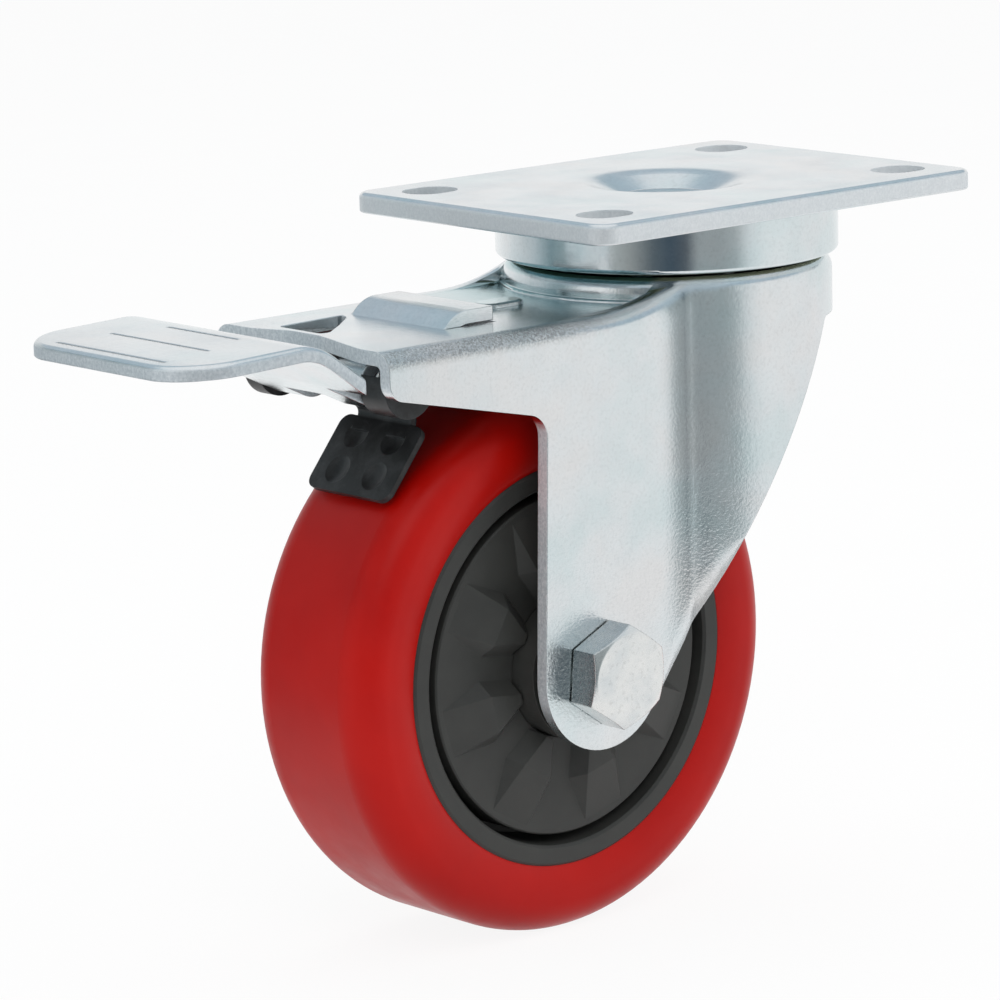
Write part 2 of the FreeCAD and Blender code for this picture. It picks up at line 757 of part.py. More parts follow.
def axle_tube():
    half = hub_half - bearing_wide
    return tube(7.0, axle_r + fit, -half, half)


def axle_spacers():
    return both_sides(tube(6.9, axle_r + fit, -fork_half + sheet, -hub_half))


def chamfered_nut(flats, y0, y1, turn, ends):
    # A hexagon whose ends, named by their y, are turned to a 30 degree chamfer.
    shape = hexagon(flats, y0, y1, turn)
    face_r = flats / 2 - 0.35
    long_r = flats / math.sqrt(3) + 0.4
    drop = (long_r - face_r) * math.tan(math.radians(30))
    low = y0 + drop if y0 in ends else y0
    high = y1 - drop if y1 in ends else y1
    points = [(0, y0), (face_r if y0 in ends else long_r, y0), (long_r, low + 0.001),
              (long_r, high - 0.001), (face_r if y1 in ends else long_r, y1), (0, y1)]
    return shape.common(spin(points))


def axle_bolt():
    seat = -fork_half - 0.3
    front = seat - 6.3
    head = chamfered_nut(bolt_flats, front, seat, bolt_turn, [front])
    washer_face = rod(bolt_flats / 2 - 0.5, seat, -fork_half)
    shank = rod(axle_r, seat - 1, fork_half + 12.4)
    end = fork_half + 12.4
    shank = shank.makeChamfer(0.8, [e for e in shank.Edges if near(at(e, "Y"), end)])
    return join([head, washer_face, shank])


def axle_washer():
    return tube(10.0, axle_r + 0.25, fork_half, fork_half + 1.8)


def axle_nut():
    start = fork_half + 1.8
    end = start + 8.2
    nut = chamfered_nut(bolt_flats, start, end, 12.0, [start, end])
    return nut.cut(rod(axle_r + fit, start - 1, end + 1))


def lower_cage():
    return pocket_ring(lower_row_r, 2.7, lower_ball_r, lower_balls, lower_ball_z(), -0.6, 0.6)


def upper_cage():
    return pocket_ring(upper_row_r, 3.2, upper_ball_r, upper_balls, upper_ball_z, -0.6, 0.6)


def upper_ball_row():
    return ball_row(upper_row_r, upper_ball_r, upper_balls, upper_ball_z)


def lower_ball_row():
    return ball_row(lower_row_r, lower_ball_r, lower_balls, lower_ball_z())


nodes = {
    "top_plate": top_plate, "swivel_cup": swivel_cup, "king_pin": king_pin, "upper_race": upper_race,
    "dust_ring": dust_ring, "lower_race": lower_race, "lock_ring": lock_ring,
    "upper_balls": upper_ball_row, "upper_cage": upper_cage,
    "lower_balls": lower_ball_row, "lower_cage": lower_cage,
    "fork": fork, "pedal_pin": pedal_pin, "return_springs": return_springs,
    "pedal": pedal, "brake_shoe": brake_shoe, "lock_leaf": lock_leaf,
    "axle_bolt": axle_bolt, "axle_washer": axle_washer, "axle_nut": axle_nut,
    "axle_tube": axle_tube, "axle_spacers": axle_spacers, "bearing_inner_rings": bearing_inner_rings,
    "bearing_outer_rings": bearing_outer_rings, "bearing_shields": bearing_shields,
    "bearing_balls": bearing_ball_rows, "bearing_cages": bearing_cages,
    "tyre": tyre, "wheel_core": wheel_core, "hub_covers": hub_covers,
}

os.makedirs("parts", exist_ok=True)
for name, make in nodes.items():
    shape = make()
    print(name, shape.isValid(), len(shape.Solids), round(shape.Volume, 1))
    shape.exportStep("parts/" + name + ".step")
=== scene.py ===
import bpy
import math
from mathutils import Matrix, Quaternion, Vector


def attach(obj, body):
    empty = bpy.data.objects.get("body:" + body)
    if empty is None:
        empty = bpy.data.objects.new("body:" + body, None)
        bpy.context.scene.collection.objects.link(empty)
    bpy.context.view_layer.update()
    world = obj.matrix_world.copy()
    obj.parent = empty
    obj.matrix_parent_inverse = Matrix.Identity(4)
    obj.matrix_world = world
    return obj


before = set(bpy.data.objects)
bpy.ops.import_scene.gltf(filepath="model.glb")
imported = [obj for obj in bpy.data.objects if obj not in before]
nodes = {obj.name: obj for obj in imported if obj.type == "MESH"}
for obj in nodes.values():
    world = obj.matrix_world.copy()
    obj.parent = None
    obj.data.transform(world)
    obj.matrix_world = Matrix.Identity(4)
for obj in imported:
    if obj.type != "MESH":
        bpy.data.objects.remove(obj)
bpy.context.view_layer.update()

# Swivel castor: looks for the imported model. Metres, origin at the centre of the plate's top face.

scene = bpy.context.scene
scene.view_settings.view_transform = "Standard"
print("frame loaded:", len(nodes), "nodes")


# Small helpers for the shader trees

# Where most of a noise's values lie
midSpan = (0.3, 0.7)

# Places of a colour mix among the sockets of its node
mixPlaces = {"share": 0, "first": 6, "second": 7, "result": 2}


def newFinish(name):
    material = bpy.data.materials.new(name)
    material.use_nodes = True
    tree = material.node_tree
    return material, tree, tree.nodes["Principled BSDF"]


def addNode(tree, kind, values=None, **settings):
    node = tree.nodes.new(kind)
    for key, value in settings.items():
        setattr(node, key, value)
    for key, value in (values or {}).items():
        node.inputs[key].default_value = value
    return node


def wire(tree, source, target, output=0):
    tree.links.new(source.outputs[output], target)


def feed(tree, socket, value):
    # The value is a number, a colour, a node, or a pair of a node and the name of its output.
    if isinstance(value, (int, float)):
        socket.default_value = value
    elif isinstance(value, tuple) and isinstance(value[1], str):
        wire(tree, value[0], socket, value[1])
    elif isinstance(value, tuple):
        socket.default_value = (*value, 1)
    else:
        wire(tree, value, socket, mixPlaces["result"] if value.bl_idname == "ShaderNodeMix" else 0)


def dress(tree, shader, values):
    for key, value in values.items():
        feed(tree, shader.inputs[key], value)


def ownPlace(tree, stretch=(1, 1, 1)):
    # The piece's own coordinates, so that a pattern moves with its piece.
    place = addNode(tree, "ShaderNodeTexCoord")
    mapping = addNode(tree, "ShaderNodeMapping", {"Scale": stretch})
    wire(tree, place, mapping.inputs["Vector"], "Object")
    return mapping


def axesOf(tree, output):
    # The X, Y and Z of one kind of texture coordinate.
    place = addNode(tree, "ShaderNodeTexCoord")
    split = addNode(tree, "ShaderNodeSeparateXYZ")
    wire(tree, place, split.inputs[0], output)
    return split


def noise(tree, place, form):
    scale, detail, rough = form
    pattern = addNode(tree, "ShaderNodeTexNoise", {"Scale": scale, "Detail": detail, "Roughness": rough})
    wire(tree, place, pattern.inputs["Vector"])
    return pattern


def ramp(tree, source, stops):
    node = addNode(tree, "ShaderNodeValToRGB")
    bar = node.color_ramp.elements
    bar[0].position = stops[0][0]
    bar[-1].position = stops[-1][0]
    for spot, colour in stops[1:-1]:
        bar.new(spot)
    for element, (spot, colour) in zip(bar, stops):
        element.color = (*colour, 1)
    wire(tree, source, node.inputs["Fac"])
    return node


def grey(value):
    return (value, value, value)


def remap(tree, source, low, high, toLow=0.0, toHigh=1.0):
    limits = {"From Min": low, "From Max": high, "To Min": toLow, "To Max": toHigh}
    node = addNode(tree, "ShaderNodeMapRange", limits)
    feed(tree, node.inputs["Value"], source)
    return node


def mathNode(tree, operation, *values):
    node = addNode(tree, "ShaderNodeMath", operation=operation)
    for socket, value in zip(node.inputs, values):
        feed(tree, socket, value)
    return node


def times(tree, first, *others):
    for other in others:
        first = mathNode(tree, "MULTIPLY", first, other)
    return first


def sizeOf(tree, split, axis):
    return mathNode(tree, "ABSOLUTE", (split, axis))


def mixColour(tree, blend, share, first, second):
    node = addNode(tree, "ShaderNodeMix", data_type="RGBA", blend_type=blend)
    for key, value in (("share", share), ("first", first), ("second", second)):
        feed(tree, node.inputs[mixPlaces[key]], value)
    return node


def bumpChain(tree, shader, layers, edge, radius=None, lean=None):
    # Layers of (height node, strength, distance in metres), over edges softened by a bevel. A node can
    # set the bevel's radius, and another can lean the normal.
    last = addNode(tree, "ShaderNodeBevel", {"Radius": edge}, samples=8)
    if radius:
        wire(tree, radius, last.inputs["Radius"])
    if lean:
        leaning = addNode(tree, "ShaderNodeVectorMath", operation="ADD")
        wire(tree, last, leaning.inputs[0])
        wire(tree, lean, leaning.inputs[1])
        last = addNode(tree, "ShaderNodeVectorMath", operation="NORMALIZE")
        wire(tree, leaning, last.inputs[0])
    for height, strength, distance in layers:
        bump = addNode(tree, "ShaderNodeBump", {"Strength": strength, "Distance": distance})
        wire(tree, height, bump.inputs["Height"])
        wire(tree, last, bump.inputs["Normal"])
        last = bump
    wire(tree, last, shader.inputs["Normal"])


# Zinc plating: clouds of cool and warm tone, blots, a fine speckle, and streaks left by rolling.
# Each pattern is (scale, detail, roughness).

zincLook = {
    "clouds": (48.0, 4.0, 0.55),
    "cloudTones": [(0.36, (0.665, 0.735, 0.750)), (0.50, (0.725, 0.755, 0.770)),
                   (0.64, (0.750, 0.752, 0.756))],
    "blots": (170.0, 5.0, 0.65), "blotTones": [(0.30, grey(0.93)), (0.62, grey(1.0))], "blotShare": 0.6,
    "speckle": (1500.0, 2.0, 0.6), "speckleShare": 0.3,
    "speckleTones": [(0.34, grey(0.84)), (0.48, grey(1.0)), (0.72, grey(1.04))],
    "rolled": (110.0, 4.0, 0.6), "rolledDepth": 0.0002, "patches": (85.0, 4.0, 0.6), "fadedGrain": (0.35, 1.2),
}

# Each piece's own plating: roughness, grain (pattern, strength, depth), streaks (stretch, strength), edge radius.
# "cutEdge" says where its upright faces are torn by the press (behind which X, their tone, strength of the
# flecks), "grainFade" between which heights the grain grows, "spangle" the strength of the flecks in the bends,
# and "crease" how much the bevel's radius grows at the crease.
platings = {
    "plateZinc": {
        "rough": (0.16, 0.27), "grain": ((700.0, 3.0, 0.6), 0.25, 0.00007), "streaks": ((14, 1, 1), 0.04),
        "edge": 0.0003, "cutEdge": (1.0, (0.66, 0.69, 0.71), 0.25),
    },
    "cupZinc": {
        "rough": (0.10, 0.17), "grain": ((420.0, 3.0, 0.6), 0.10, 0.00007), "streaks": ((1, 1, 12), 0.03),
        "edge": 0.0003,
    },
    "forkZinc": {
        "rough": (0.14, 0.24), "grain": ((1700.0, 3.0, 0.6), 0.9, 0.00009), "streaks": ((5, 1, 1), 0.05),
        "edge": 0.0003, "cutEdge": (-0.046, (0.70, 0.78, 0.83), 0.7), "grainFade": (-0.030, -0.068),
        "spangle": 0.6, "collarShaded": True, "crease": 0.0042,
    },
    "pedalZinc": {
        "rough": (0.15, 0.25), "grain": ((900.0, 3.0, 0.6), 0.35, 0.00007), "streaks": ((1, 9, 1), 0.06),
        "edge": 0.0008, "cutEdge": (1.0, (0.36, 0.42, 0.47), 0.5),
    },
    "pinZinc": {
        "rough": (0.16, 0.26), "grain": ((420.0, 3.0, 0.6), 0.10, 0.00007), "streaks": ((1, 1, 12), 0.05),
        "edge": 0.0003,
    },
}

# The cut faces of a sheet: torn metal, duller than the rolled skin, with bright flecks
cutLook = {
    "upright": (0.35, 0.75), "fade": 0.002, "torn": (2100.0, 4.0, 0.65), "stretch": (1, 1, 0.8),
    "tones": [(0.34, (0.47, 0.51, 0.54)), (0.50, (0.66, 0.70, 0.72)), (0.66, (0.90, 0.92, 0.93))],
    "share": 0.85, "rough": 0.30, "dull": 0.55, "bump": 0.6, "depth": 0.00012,
}

# The fork's bends, where the stretched plating turns greyer and catches light in small bright spots
bendLook = {
    "slope": (0.05, 0.4), "place": (-0.034, -0.050), "flecks": (2300.0, 4.0, 0.7), "depth": 0.00028,
    "tones": [(0.36, (0.52, 0.51, 0.50)), (0.60, (0.96, 0.95, 0.94))],
}

# Painted shade round the fork's collar: a blue-green darkening that stands in for shade and teal reflection.
# It lies from the inner to the outer distance from the swivel's axis, between the sides, on faces that look up,
# behind a place on X
collarShade = {
    "inner": 0.0312, "outer": 0.054, "side": 0.0205, "fade": 0.0015, "upward": (0.45, 0.85),
    "place": (-0.016, -0.021), "tone": (0.40, 0.66, 0.68),
}

# The soft crease between the fork's cheek and its round head lies at -x, on either side. The bevel grows
# within the reach, and the cheek's normal leans towards -X from the start up to the crease.
crease = {
    "x": 0.0182, "reach": 0.009, "start": 0.0098, "lean": 0.45, "end": (-0.0004, 0.0009),
    "sides": (0.0225, 0.0240),
}


def creaseSides(tree, spot):
    return remap(tree, sizeOf(tree, spot, "Y"), *crease["sides"])


def creaseShare(tree, spot):
    # One where the flat cheek runs into the round head.
    off = mathNode(tree, "ABSOLUTE", mathNode(tree, "ADD", (spot, "X"), crease["x"]))
    beside = remap(tree, off, crease["reach"], 0.5 * crease["reach"])
    return times(tree, beside, creaseSides(tree, spot))


def creaseLean(tree, spot):
    # The flat cheek starts to turn towards -X before it meets the head, as a pressed sheet does.
    gap = mathNode(tree, "SUBTRACT", mathNode(tree, "MULTIPLY", -1.0, (spot, "X")), crease["x"])
    turn = remap(tree, gap, crease["start"], 0.0, 0.0, crease["lean"])
    turn.interpolation_type = "SMOOTHSTEP"
    towards = remap(tree, gap, *crease["end"], 0.0, -1.0)
    own = addNode(tree, "ShaderNodeCombineXYZ")
    wire(tree, times(tree, turn, towards, creaseSides(tree, spot)), own.inputs[0])
    spaces = {"vector_type": "VECTOR", "convert_from": "OBJECT", "convert_to": "WORLD"}
    lean = addNode(tree, "ShaderNodeVectorTransform", **spaces)
    wire(tree, own, lean.inputs[0])
    return lean


def cutEdgeShare(tree, facing, spot, reach):
    # Upright faces of the sheet: all of them, or those that look along X and lie behind a place on it.
    upright = remap(tree, mathNode(tree, "SUBTRACT", 1.0, sizeOf(tree, facing, "Z")), *cutLook["upright"])
    if reach >= 1.0:
        return upright
    ahead = remap(tree, sizeOf(tree, facing, "X"), *cutLook["upright"])
    behind = remap(tree, (spot, "X"), reach, reach - cutLook["fade"])
    return times(tree, upright, ahead, behind)


# Where the collar's painted shade lies
def collarShadeShare(tree, facing, spot):
    flat = addNode(tree, "ShaderNodeCombineXYZ")
    wire(tree, spot, flat.inputs[0], "X")
    wire(tree, spot, flat.inputs[1], "Y")
    far = addNode(tree, "ShaderNodeVectorMath", operation="LENGTH")
    wire(tree, flat, far.inputs[0])
    ring = remap(tree, (far, "Value"), collarShade["inner"], collarShade["outer"], 1.0, 0.0)
    inside = remap(tree, sizeOf(tree, spot, "Y"), collarShade["side"], collarShade["side"] - collarShade["fade"])
    upward = remap(tree, (facing, "Z"), *collarShade["upward"])
    behind = remap(tree, (spot, "X"), *collarShade["place"])
    return times(tree, ring, inside, upward, behind)


def zincFinish(name):
    look = zincLook
    own = platings[name]
    material, tree, shader = newFinish(name)
    place = ownPlace(tree)
    facing = axesOf(tree, "Normal")
    spot = axesOf(tree, "Object")
    tone = ramp(tree, noise(tree, place, look["clouds"]), look["cloudTones"])
    blots = ramp(tree, noise(tree, place, look["blots"]), look["blotTones"])
    colour = mixColour(tree, "MULTIPLY", look["blotShare"], tone, blots)
    dots = ramp(tree, noise(tree, place, look["speckle"]), look["speckleTones"])
    colour = mixColour(tree, "MULTIPLY", look["speckleShare"], colour, dots)
    rough = remap(tree, noise(tree, place, look["patches"]), *midSpan, *own["rough"])
    metal = 1.0
    stretch, streakStrength = own["streaks"]
    rolled = noise(tree, ownPlace(tree, stretch), look["rolled"])
    form, strength, depth = own["grain"]
    grain = noise(tree, place, form)
    if "grainFade" in own:
        grain = times(tree, grain, remap(tree, (spot, "Z"), *own["grainFade"], *look["fadedGrain"]))
    layers = [(rolled, streakStrength, look["rolledDepth"]), (grain, strength, depth)]
    # Painted shade: the collar's blue-green darkening, multiplied into the plating's colour
    if "collarShaded" in own:
        colour = mixColour(tree, "MULTIPLY", collarShadeShare(tree, facing, spot), colour, collarShade["tone"])
    if "cutEdge" in own:
        reach, cutTone, flecked = own["cutEdge"]
        share = cutEdgeShare(tree, facing, spot, reach)
        torn = noise(tree, ownPlace(tree, cutLook["stretch"]), cutLook["torn"])
        cut = mixColour(tree, "MIX", flecked, cutTone, ramp(tree, torn, cutLook["tones"]))
        colour = mixColour(tree, "MIX", times(tree, share, cutLook["share"]), colour, cut)
        rough = mathNode(tree, "ADD", rough, times(tree, share, cutLook["rough"]))
        metal = mathNode(tree, "SUBTRACT", 1.0, times(tree, share, cutLook["dull"]))
        layers.append((times(tree, share, torn), cutLook["bump"] * flecked, cutLook["depth"]))
    if "spangle" in own:
        slope = times(tree, sizeOf(tree, facing, "Y"), sizeOf(tree, facing, "Z"))
        bend = times(tree, remap(tree, slope, *bendLook["slope"]), remap(tree, (spot, "X"), *bendLook["place"]))
        flecks = noise(tree, place, bendLook["flecks"])
        colour = mixColour(tree, "MULTIPLY", bend, colour, ramp(tree, flecks, bendLook["tones"]))
        layers.append((times(tree, bend, flecks), own["spangle"], bendLook["depth"]))
    radius = None
    lean = None
    if "crease" in own:
        radius = mathNode(tree, "ADD", own["edge"], times(tree, creaseShare(tree, spot), own["crease"]))
        lean = creaseLean(tree, spot)
    dress(tree, shader, {"Base Color": colour, "Roughness": rough, "Metallic": metal})
    bumpChain(tree, shader, layers, own["edge"], radius, lean)
    return material


zincs = {name: zincFinish(name) for name in platings}
print("zinc finishes made")


# Fasteners: smoother plating with forged and turned marks

boltLook = {
    "patches": (130.0, 5.0, 0.6), "tones": [(0.35, (0.66, 0.69, 0.70)), (0.58, (0.77, 0.775, 0.765))],
    "scratches": (420.0, 3.0, 0.6), "stretch": (1, 14, 3), "pits": (900.0, 4.0, 0.6),
    "pitTones": [(0.32, grey(0.78)), (0.46, grey(1.0))], "pitShare": 0.6, "rough": (0.18, 0.32),
    "scratchBump": (0.12, 0.0001), "pitBump": (0.16, 0.0001), "edge": 0.0004,
}


def fastenerFinish():
    look = boltLook
    material, tree, shader = newFinish("fastenerZinc")
    place = ownPlace(tree)
    tone = ramp(tree, noise(tree, place, look["patches"]), look["tones"])
    scratches = noise(tree, ownPlace(tree, look["stretch"]), look["scratches"])
    pits = noise(tree, place, look["pits"])
    colour = mixColour(tree, "MULTIPLY", look["pitShare"], tone, ramp(tree, pits, look["pitTones"]))
    rough = remap(tree, scratches, *midSpan, *look["rough"])
    dress(tree, shader, {"Base Color": colour, "Roughness": rough, "Metallic": 1.0})
    bumpChain(tree, shader, [(scratches, *look["scratchBump"]), (pits, *look["pitBump"])], look["edge"])
    return material


# Ground and turned steel of the bearings, the races and the springs, under a film of oil

steelLook = {
    "turned": (240.0, 3.0, 0.55), "stretch": (1, 30, 1), "turnedBump": (0.10, 0.0001), "rough": (0.12, 0.28),
    "oil": (190.0, 4.0, 0.6), "tones": [(0.35, (0.42, 0.41, 0.39)), (0.6, (0.64, 0.64, 0.63))], "edge": 0.00015,
}


def steelFinish():
    look = steelLook
    material, tree, shader = newFinish("bearingSteel")
    turned = noise(tree, ownPlace(tree, look["stretch"]), look["turned"])
    oil = ramp(tree, noise(tree, ownPlace(tree), look["oil"]), look["tones"])
    rough = remap(tree, turned, *midSpan, *look["rough"])
    dress(tree, shader, {"Base Color": oil, "Roughness": rough, "Metallic": 1.0})
    bumpChain(tree, shader, [(turned, *look["turnedBump"])], look["edge"])
    return material


# Black painted steel of the brake shoe and the lock leaf

blackLook = {
    "rubbed": (210.0, 6.0, 0.7), "tones": [(0.46, (0.016, 0.0165, 0.017)), (0.70, (0.043, 0.045, 0.047))],
    "peel": (850.0, 3.0, 0.5), "peelBump": (0.14, 0.0001), "rubbedBump": (0.12, 0.0002),
    "rough": (0.30, 0.46), "shine": 0.32, "edge": 0.0003,
}


def blackFinish():
    look = blackLook
    material, tree, shader = newFinish("blackSteel")
    place = ownPlace(tree)
    rubbed = noise(tree, place, look["rubbed"])
    peel = noise(tree, place, look["peel"])
    rough = remap(tree, rubbed, *midSpan, *look["rough"])
    tone = ramp(tree, rubbed, look["tones"])
    dress(tree, shader, {"Base Color": tone, "Roughness": rough, "Specular IOR Level": look["shine"]})
    bumpChain(tree, shader, [(peel, *look["peelBump"]), (rubbed, *look["rubbedBump"])], look["edge"])
    return material


# Red polyurethane: clear, dense colour, a satin skin, fine moulding marks and a few specks of dust

treadLook = {
    "depth": (36.0, 4.0, 0.5), "tones": [(0.35, (0.40, 0.0018, 0.0004)), (0.65, (0.48, 0.0038, 0.0010))],
    "specks": 190.0, "speckSize": 0.045, "chosen": (95.0, 1.0, 0.5), "rare": 0.66, "dust": (0.85, 0.62, 0.58),
    "skin": (120.0, 4.0, 0.6), "skinBump": (0.06, 0.0004),
    "fine": (1400.0, 2.0, 0.5), "fineBump": (0.05, 0.00005),
    "rough": (0.30, 0.42), "shine": 0.20, "edge": 0.0003,
}


def treadFinish():
    look = treadLook
    material, tree, shader = newFinish("redTread")
    place = ownPlace(tree)
    tone = ramp(tree, noise(tree, place, look["depth"]), look["tones"])
    specks = addNode(tree, "ShaderNodeTexVoronoi", {"Scale": look["specks"], "Randomness": 1.0})
    wire(tree, place, specks.inputs["Vector"])
    small = mathNode(tree, "LESS_THAN", specks, look["speckSize"])
    rare = mathNode(tree, "GREATER_THAN", noise(tree, place, look["chosen"]), look["rare"])
    colour = mixColour(tree, "MIX", times(tree, small, rare), tone, look["dust"])
    skin = noise(tree, place, look["skin"])
    fine = noise(tree, place, look["fine"])
    rough = remap(tree, skin, *midSpan, *look["rough"])
    dress(tree, shader, {"Base Color": colour, "Roughness": rough, "Specular IOR Level": look["shine"]})
    bumpChain(tree, shader, [(skin, *look["skinBump"]), (fine, *look["fineBump"])], look["edge"])
    return material


# Charcoal plastic of the core and its covers, black plastic of the cages, and the dust ring's olive, made pale as
# painted light

plasticLook = {
    "charcoal": [(0.35, (0.036, 0.037, 0.035)), (0.65, (0.047, 0.048, 0.045))],
    "black": [(0.35, (0.008, 0.008, 0.009)), (0.65, (0.016, 0.016, 0.017))],
    # The dust ring's olive is made pale, painted light that stands in for the sheen in the shaded gap under the
    # cup
    "olive": [(0.35, (0.25, 0.27, 0.17)), (0.65, (0.35, 0.36, 0.25))],
    "flow": (75.0, 5.0, 0.6), "flowBump": (0.05, 0.0003),
    "spark": (1900.0, 3.0, 0.6), "sparkBump": (0.16, 0.00008),
    "rough": (0.38, 0.52), "shine": 0.28, "edge": 0.00025,
}


def plasticFinish(name, colour):
    look = plasticLook
    material, tree, shader = newFinish(name)
    place = ownPlace(tree)
    flow = noise(tree, place, look["flow"])
    spark = noise(tree, place, look["spark"])
    rough = remap(tree, flow, *midSpan, *look["rough"])
    tone = ramp(tree, flow, look[colour])
    dress(tree, shader, {"Base Color": tone, "Roughness": rough, "Specular IOR Level": look["shine"]})
    bumpChain(tree, shader, [(spark, *look["sparkBump"]), (flow, *look["flowBump"])], look["edge"])
    return material


fastenerZinc = fastenerFinish()
bearingSteel = steelFinish()
blackSteel = blackFinish()
redTread = treadFinish()
charcoalPlastic = plasticFinish("charcoalPlastic", "charcoal")
blackPlastic = plasticFinish("blackPlastic", "black")
# Painted light: the dust ring is made pale so that it shows in the shade of the gap under the cup
oliveRingPaintedLight = plasticFinish("oliveRingPaintedLight", "olive")

# Each finish with the nodes that wear it
wearers = [
    (zincs["plateZinc"], ("top_plate",)),
    (zincs["cupZinc"], ("swivel_cup",)),
    (zincs["forkZinc"], ("fork",)),
    (zincs["pedalZinc"], ("pedal",)),
    (zincs["pinZinc"], ("king_pin", "lock_ring", "pedal_pin", "axle_tube", "axle_spacers")),
    (fastenerZinc, ("axle_bolt", "axle_washer", "axle_nut")),
    (bearingSteel, ("upper_race", "lower_race", "upper_balls", "lower_balls", "return_springs", "bearing_balls",
                    "bearing_inner_rings", "bearing_outer_rings", "bearing_shields")),
    (blackSteel, ("brake_shoe", "lock_leaf")),
    (redTread, ("tyre",)),
    (charcoalPlastic, ("wheel_core", "hub_covers")),
    (blackPlastic, ("upper_cage", "lower_cage", "bearing_cages")),
    (oliveRingPaintedLight, ("dust_ring",)),
]

for finish, names in wearers:
    for name in names:
        mesh = nodes[name].data
        mesh.materials.clear()
        mesh.materials.append(finish)
dressed = [name for finish, names in wearers for name in names]
print("finishes on", len(dressed), "nodes; without:", sorted(set(nodes) - set(dressed)))


# The thread that stands past the nut, one turned ridge round the axle. The foot and the top are half widths
# as shares of the pitch, and the taper is how many steps the ridge takes to rise.

thread = {
    "axle": (-0.040, -0.0825), "start": 0.0345, "end": 0.0366, "root": 0.0049, "crest": 0.00515,
    "pitch": 0.00125, "foot": 0.42, "top": 0.042, "steps": 48, "taper": 12,
}


def boltThread():
    steps = thread["steps"]
    root = thread["root"]
    crest = thread["crest"]
    foot = thread["foot"] * thread["pitch"]
    top = thread["top"] * thread["pitch"]
    section = ((root, -foot), (crest, -top), (crest, top), (root, foot))
    corners = len(section)
    count = int((thread["end"] - thread["start"]) / thread["pitch"] * steps) + 1
    axleX, axleZ = thread["axle"]
    points = []
    for i in range(count):
        angle = 2 * math.pi * i / steps
        along = thread["start"] + thread["pitch"] * i / steps
        taper = min(1.0, i / thread["taper"], (count - 1 - i) / thread["taper"])
        for radius, shift in section:
            r = root + (radius - root) * taper
            points.append((axleX + r * math.cos(angle), along + shift, axleZ + r * math.sin(angle)))
    faces = []
    for i in range(count - 1):
        for j in range(corners):
            a = corners * i + j
            b = corners * i + (j + 1) % corners
            faces.append((a, b, b + corners, a + corners))
    faces.append(tuple(reversed(range(corners))))
    faces.append(tuple(corners * (count - 1) + j for j in range(corners)))
    mesh = bpy.data.meshes.new("axle_thread")
    mesh.from_pydata(points, [], faces)
    mesh.materials.append(fastenerZinc)
    piece = bpy.data.objects.new("axle_thread", mesh)
    scene.collection.objects.link(piece)
    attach(piece, "fork")


boltThread()
print("thread made")


# Floor: white to the camera and to reflections, apart from the share that shows the shadow

floorLook = {
    "level": -0.1325, "half": 12.0, "paper": (30.0, 3.0, 0.5), "tones": [(0.3, grey(0.94)), (0.7, grey(0.96))],
    "rough": 0.9, "shine": 0.1, "white": 0.90,
}


def seenShare(tree, share):
    path = addNode(tree, "ShaderNodeLightPath")
    direct = mathNode(tree, "MAXIMUM", (path, "Is Camera Ray"), (path, "Is Glossy Ray"))
    return times(tree, mathNode(tree, "MAXIMUM", direct, (path, "Is Transmission Ray")), share)


def makeFloor():
    look = floorLook
    half = look["half"]
    z = look["level"]
    mesh = bpy.data.meshes.new("floor")
    mesh.from_pydata([(-half, -half, z), (half, -half, z), (half, half, z), (-half, half, z)], [], [(0, 1, 2, 3)])
    floor = bpy.data.objects.new("floor", mesh)
    scene.collection.objects.link(floor)
    material, tree, shader = newFinish("paleFloor")
    paper = ramp(tree, noise(tree, ownPlace(tree), look["paper"]), look["tones"])
    dress(tree, shader, {"Base Color": paper, "Roughness": look["rough"], "Specular IOR Level": look["shine"]})
    white = addNode(tree, "ShaderNodeEmission", {"Color": (1, 1, 1, 1), "Strength": 1.0})
    mix = addNode(tree, "ShaderNodeMixShader")
    for socket, value in zip(mix.inputs, (seenShare(tree, look["white"]), shader, white)):
        wire(tree, value, socket)
    wire(tree, mix, tree.nodes["Material Output"].inputs["Surface"])
    mesh.materials.append(material)


# What bright metal sees round it, by compass direction: -180 and 180 are -X, -90 is -Y, 0 is +X
wall = {
    "radius": 0.215, "low": -0.1324, "high": 0.075, "count": 96,
    "stops": [
        (-180, (1.0, 1.0, 1.0)), (-171, (1.0, 1.0, 1.0)), (-167, (0.44, 0.48, 0.48)), (-157, (0.34, 0.37, 0.37)),
        (-142, (0.11, 0.14, 0.16)), (-131, (0.062, 0.092, 0.122)), (-121, (0.10, 0.12, 0.14)),
        (-114, (0.36, 0.40, 0.41)), (-100, (0.35, 0.39, 0.40)), (-90, (0.42, 0.47, 0.48)),
        (-80, (0.80, 0.84, 0.85)), (-68, (0.95, 0.96, 0.96)), (-20, (0.94, 0.94, 0.94)), (84, (0.97, 0.98, 0.98)),
        (104, (0.84, 0.87, 0.88)), (124, (0.60, 0.66, 0.68)), (134, (0.52, 0.59, 0.62)), (149, (0.22, 0.31, 0.34)),
        (160, (0.34, 0.42, 0.44)), (168, (0.92, 0.95, 0.96)),
    ],
}


